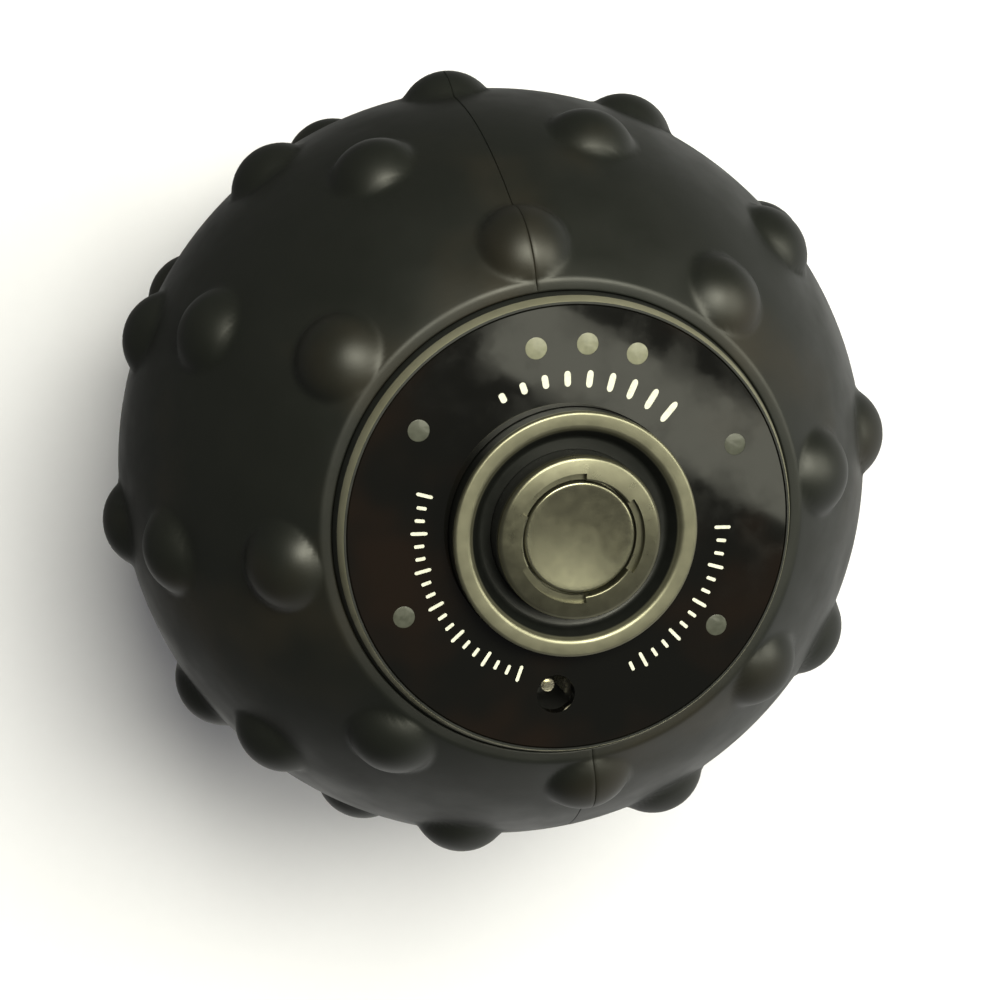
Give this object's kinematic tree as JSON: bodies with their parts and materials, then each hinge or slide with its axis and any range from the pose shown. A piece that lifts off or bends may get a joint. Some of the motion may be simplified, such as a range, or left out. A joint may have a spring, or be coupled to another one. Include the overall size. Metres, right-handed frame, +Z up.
{
  "type": "massage ball",
  "caption": "Rechargeable vibrating massage ball with a bumped rubber skin, a round glossy control panel, one push button and a charging socket.",
  "frame": {"origin": "under the ball's centre, on the plane of its four lowest bumps", "axes": "+Z up along the control panel's axis; -Y towards the charging socket; +X to the right of it"},
  "size_m": [0.1242, 0.1242, 0.1176],
  "materials": {
    "rubber": "matte moulded rubber",
    "shell": "moulded black plastic",
    "bezel": "satin grey plastic",
    "lens": "polished black",
    "window": "frosted",
    "foam": "foam",
    "chip": "epoxy",
    "board": "solder mask",
    "screw": "zinc plated",
    "button_plastic": "satin",
    "cap_plastic": "satin",
    "spring_steel": "drawn wire",
    "black_plastic": "moulded",
    "contact": "plated",
    "motor_steel": "rolled",
    "magnet": "ferrite",
    "iron": "sintered",
    "shaft_steel": "ground",
    "bronze": "sintered bronze",
    "inner_rubber": "soft",
    "cell_wrap": "shrink film",
    "nickel": "strip",
    "connector": "nylon",
    "lead": "insulation"
  },
  "bodies": {
    "ball": {"battery_cell_left": "cell_wrap", "battery_cell_right": "cell_wrap", "battery_header": "connector", "battery_leads": "lead", "battery_pad": "foam", "battery_plug": "connector", "battery_strap": "black_plastic", "board_chips": "chip", "board_screws": "screw", "button_collar": "button_plastic", "button_ring": "button_plastic", "cell_link": "nickel", "cell_tabs": "nickel", "chassis": "shell", "chassis_screws": "screw", "clamp_screws": "screw", "control_board": "board", "dc_contact": "contact", "dc_pin": "contact", "dc_socket": "black_plastic", "led_windows": "window", "light_mask": "foam", "motor_bushes": "bronze", "motor_can": "motor_steel", "motor_clamp": "shell", "motor_end_cap": "black_plastic", "motor_header": "connector", "motor_leads": "lead", "motor_magnets": "magnet", "motor_plug": "connector", "motor_sleeve": "inner_rubber", "motor_terminals": "contact", "panel_base": "bezel", "panel_lens": "lens", "panel_screws": "screw", "protection_board": "board", "protection_chip": "chip", "return_spring": "spring_steel", "shell_left": "shell", "shell_right": "shell", "skin_left": "rubber", "skin_right": "rubber", "status_leds": "chip", "strap_screws": "screw", "switch_body": "black_plastic"},
    "button": {"button_cap": "cap_plastic"},
    "plunger": {"switch_plunger": "black_plastic"},
    "rotor": {"motor_armature": "iron", "motor_shaft": "shaft_steel", "weight_front": "iron", "weight_rear": "iron"}
  },
  "joints": [
    {"name": "button_press", "type": "slide", "parent": "ball", "child": "button", "axis": [0, 0, 1], "range_m": [-0.0008, 0], "stiffness_N_per_m": 450, "springref_m": 0.0008, "deforming": ["return_spring"]},
    {"name": "switch_travel", "type": "slide", "parent": "ball", "child": "plunger", "axis": [0, 0, 1], "range_m": [-0.0008, 0]},
    {"name": "motor_spin", "type": "hinge", "parent": "ball", "child": "rotor", "pos_m": [0, 0, 0.04309], "axis": [-0.2079, 0.9781, 0], "continuous": true}
  ],
  "couplings": [
    {"joint": "switch_travel", "follows": "button_press", "ratio": 1}
  ]
}
